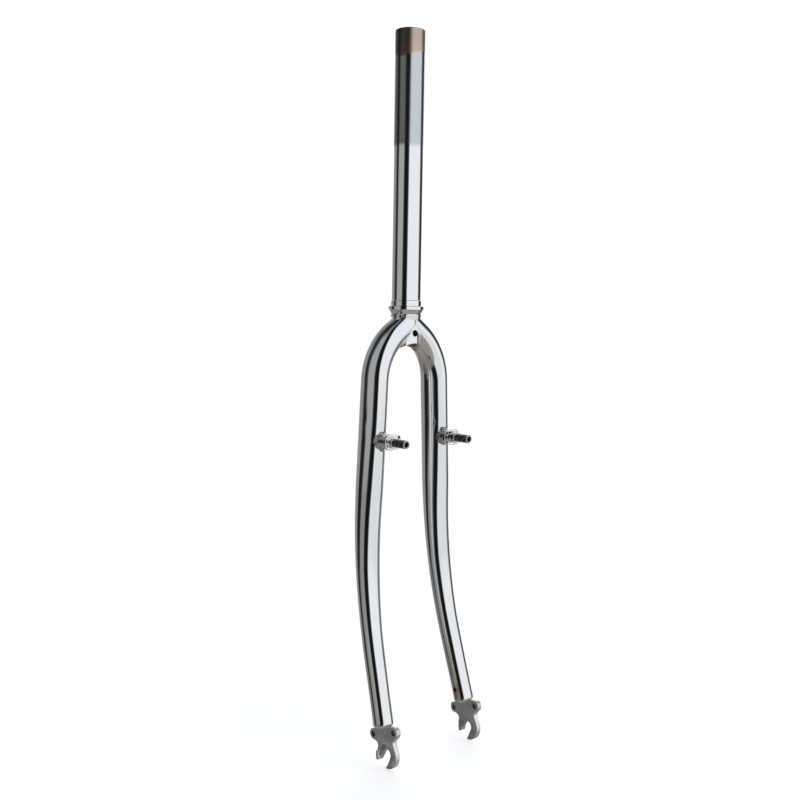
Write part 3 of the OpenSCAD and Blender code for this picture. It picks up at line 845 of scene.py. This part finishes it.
def dropout_material():
    """Thin dull plating: cloudy, browner at the blade and round the slot, and painted dark in the eyelets, a
    painted shade.
    """
    material, tree, shader, place = start_material("dull_dropout_plating")
    shader.inputs["Metallic"].default_value = 0.72
    _, y, z = split_axes(tree, place)
    grain = noise_node(tree, place, 260.0, 3.0, 0.5)
    cloud = remap(tree, noise_node(tree, place, 90.0, 4.0, 0.6), 0.35, 0.7)
    base = mix_colour(tree, cloud, (0.96, 0.96, 0.97, 1), (0.60, 0.57, 0.52, 1))
    ring = remap(tree, apart(tree, y, AXLE_Y, z, AXLE_Z), 0.0135, 0.0060)
    base = mix_colour(tree, math_node(tree, "MULTIPLY", ring, cloud), base, (0.42, 0.35, 0.27, 1))
    top = remap(tree, z, -0.4050, -0.3930, 0.0, 0.5)
    base = mix_colour(tree, top, base, (0.66, 0.60, 0.50, 1))
    # Painted shade: the eyelets' bores are painted near black.
    holes = [remap(tree, apart(tree, y, hole_y, z, hole_z), 0.0029, 0.0026) for hole_y, hole_z in EYELETS]
    holes = math_node(tree, "MAXIMUM", *holes)
    base = mix_colour(tree, holes, base, (0.05, 0.045, 0.04, 1))
    tree.links.new(base, shader.inputs["Base Color"])
    tree.links.new(remap(tree, cloud, 0.0, 1.0, 0.15, 0.30), shader.inputs["Roughness"])
    add_bump(tree, shader, grain, 0.00002, 0.3)
    return material


def rounded_copy(node_name, name, material):
    """A copy of a CAD node whose edges are rounded by a fine remesh and a few smoothing passes."""
    mesh = bmesh.new()
    mesh.from_mesh(nodes[node_name].data)
    mesh.transform(nodes[node_name].matrix_world)
    bmesh.ops.remove_doubles(mesh, verts=mesh.verts, dist=1e-6)
    piece = to_piece(mesh, name, material)
    remesh = piece.modifiers.new("remesh", "REMESH")
    remesh.mode = "VOXEL"
    remesh.voxel_size = 0.0003
    remesh.use_smooth_shade = True
    smooth = piece.modifiers.new("smooth", "SMOOTH")
    smooth.factor = 0.5
    smooth.iterations = 8
    return piece


DROPOUT_PLATING = dropout_material()
for hand in ("left", "right"):
    dropout = rounded_copy("dropout_" + hand, "dropout_tumbled_" + hand, DROPOUT_PLATING)
    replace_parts(dropout, "dropout_" + hand)

# Studio: a pale floor and a tall round tent of white, grey and black cloth. The cloth is the world's
# colour by direction, so the chrome shows its upright bands. To the camera all of it is white.
floor_mesh = bmesh.new()
floor_r, floor_z = 6.0, cad_box[0][2] - 0.0003
floor_turns = [math.pi * k / 32 for k in range(64)]
floor_mesh.faces.new([floor_mesh.verts.new((floor_r * math.cos(a), floor_r * math.sin(a), floor_z))
                      for a in floor_turns])
floor_data = bpy.data.meshes.new("studio_floor")
floor_mesh.to_mesh(floor_data)
floor_mesh.free()
floor = bpy.data.objects.new("studio_floor", floor_data)
bpy.context.scene.collection.objects.link(floor)
floor.visible_glossy = False


def floor_material():
    """White to the camera apart from the fork's shadow, and a plain pale cloth to everything else."""
    material, tree, shader, _ = start_material("studio_floor")
    tree.nodes.remove(shader)
    seen = tree.nodes.new("ShaderNodeLightPath").outputs["Is Camera Ray"]
    glow = tree.nodes.new("ShaderNodeEmission")
    tree.links.new(math_node(tree, "MULTIPLY", seen, 0.62), glow.inputs["Strength"])
    cloth = tree.nodes.new("ShaderNodeBsdfDiffuse")
    cloth.inputs["Color"].default_value = (0.86, 0.86, 0.86, 1)
    both = tree.nodes.new("ShaderNodeAddShader")
    tree.links.new(glow.outputs[0], both.inputs[0])
    tree.links.new(cloth.outputs[0], both.inputs[1])
    tree.links.new(both.outputs[0], tree.nodes["Material Output"].inputs["Surface"])
    return material


floor_data.materials.append(floor_material())

# Sheets of cloth, by degrees to the right of the camera: from, to, and how bright chrome shows them
# out of 255, above the table's edge and just below it. The dark ones are gaps between two sheets.
SHEETS = [(-180, -152, 245, 245), (-135, -107, 135, 135), (-98, -85, 40, 30), (-73, -37, 155, 130),
          (-26, -2, 20, 20), (8, 100, 230, 215), (117, 139, 45, 80), (158, 180, 245, 245)]
ABOVE, BELOW = 2, 3


def tent_light(level):
    """Light that plain chrome shows at this brightness on the screen."""
    return ((level / 255 + 0.055) / 1.055) ** 2.4 / 0.79


def band_ramp(tree, share, ring):
    """One ring of the sheets' light; the bright sheets are a little blue, the dark ones warm."""
    bands = []
    for sheet in SHEETS:
        start, end, level = sheet[0], sheet[1], sheet[ring]
        if bands:
            # Halfway from the sheet before.
            bands.append(((bands[-1][0] + start) / 2, 0.45 * (bands[-1][1] + level)))
        bands += [(start, level), (end, level)]
    ramp = tree.nodes.new("ShaderNodeValToRGB")
    tree.links.new(share, ramp.inputs[0])
    stops = ramp.color_ramp.elements
    for i, (angle, level) in enumerate(bands):
        stop = stops[0 if i == 0 else -1] if i in (0, len(bands) - 1) else stops.new((angle + 180) / 360)
        light = tent_light(level)
        cool = 1.025 if level > 190 else 0.995
        stop.color = (light / cool, light, light * cool, 1)
    return ramp.outputs[0]


def cloth_gap(tree, angle, edges):
    """A mask of a gap between two sheets; its soft edges are four angles in degrees, from the left."""
    start, full, fade, end = (math.radians(edge) for edge in edges)
    return math_node(tree, "MULTIPLY", remap(tree, angle, start, full), remap(tree, angle, end, fade))


def tent_world():
    """The world: two rings of bands, a dim top, and the table below."""
    world = bpy.data.worlds.new("studio_tent")
    bpy.context.scene.world = world
    world.use_nodes = True
    tree = world.node_tree
    background = tree.nodes["Background"]
    direction = tree.nodes.new("ShaderNodeTexCoord").outputs["Generated"]
    turned = tree.nodes.new("ShaderNodeVectorRotate")
    turned.rotation_type = "Z_AXIS"
    turned.inputs["Angle"].default_value = -heading
    tree.links.new(direction, turned.inputs["Vector"])
    # The sheets hang a little out of plumb, so their edges lean.
    leaning = tree.nodes.new("ShaderNodeVectorRotate")
    leaning.rotation_type = "Y_AXIS"
    leaning.inputs["Angle"].default_value = math.radians(-12)
    tree.links.new(turned.outputs[0], leaning.inputs["Vector"])
    x, y, _ = split_axes(tree, leaning.outputs[0])
    round_angle = math_node(tree, "ARCTAN2", x, math_node(tree, "MULTIPLY", y, -1.0))
    share = remap(tree, round_angle, -math.pi, math.pi)
    _, _, height = split_axes(tree, direction)
    foot = remap(tree, height, -0.02, -0.13)
    below = band_ramp(tree, share, BELOW)
    cloth = mix_colour(tree, foot, band_ramp(tree, share, ABOVE), below)
    # Higher up the cloth is lit by the sky of the room, and the dark gap on the left is wider.
    cool = mix_colour(tree, 1.0, cloth, (0.955, 1.0, 1.06, 1), "MULTIPLY")
    cloth = mix_colour(tree, remap(tree, height, 0.15, 0.55), cloth, cool)
    gap = cloth_gap(tree, round_angle, (-128, -108, -78, -66))
    gap = math_node(tree, "MULTIPLY", gap, remap(tree, height, 0.45, 0.72, 0.0, 0.8))
    cloth = mix_colour(tree, gap, cloth, (0.03, 0.032, 0.036, 1))
    # Just below the table's edge that gap is wider too.
    gap = cloth_gap(tree, round_angle, (-94, -86, -73, -67))
    gap = math_node(tree, "MULTIPLY", gap, remap(tree, height, -0.012, -0.03))
    gap = math_node(tree, "MULTIPLY", gap, remap(tree, height, -0.20, -0.15, 0.0, 0.9))
    cloth = mix_colour(tree, gap, cloth, (0.012, 0.012, 0.013, 1))
    # Straight above, the tent is open to the dim room.
    top = remap(tree, height, 0.84, 0.93)
    shaded = mix_colour(tree, 1.0, cloth, (0.45, 0.45, 0.46, 1), "MULTIPLY")
    cloth = mix_colour(tree, top, cloth, shaded)
    table = tent_light(118)
    left = remap(tree, round_angle, math.radians(-33), math.radians(-38))
    drop = math_node(tree, "ADD", height, math_node(tree, "MULTIPLY", left, -0.18))
    # The table is palest under the fork and darker toward its rim, and mirrors the tent a little.
    low = remap(tree, height, -0.40, -0.85, 0.75, 1.45)
    ground = mix_colour(tree, 1.0, (table, table, table * 0.97, 1), low, "MULTIPLY")
    shine = remap(tree, height, -0.45, -0.80, 0.34, 0.0)
    ground = mix_colour(tree, shine, ground, below)
    cloth = mix_colour(tree, remap(tree, drop, -0.48, -0.53), cloth, ground)
    seen = tree.nodes.new("ShaderNodeLightPath").outputs["Is Camera Ray"]
    tree.links.new(mix_colour(tree, seen, cloth, (1.0, 1.0, 1.0, 1)), background.inputs["Color"])


tent_world()
bpy.context.scene.view_settings.view_transform = "Standard"
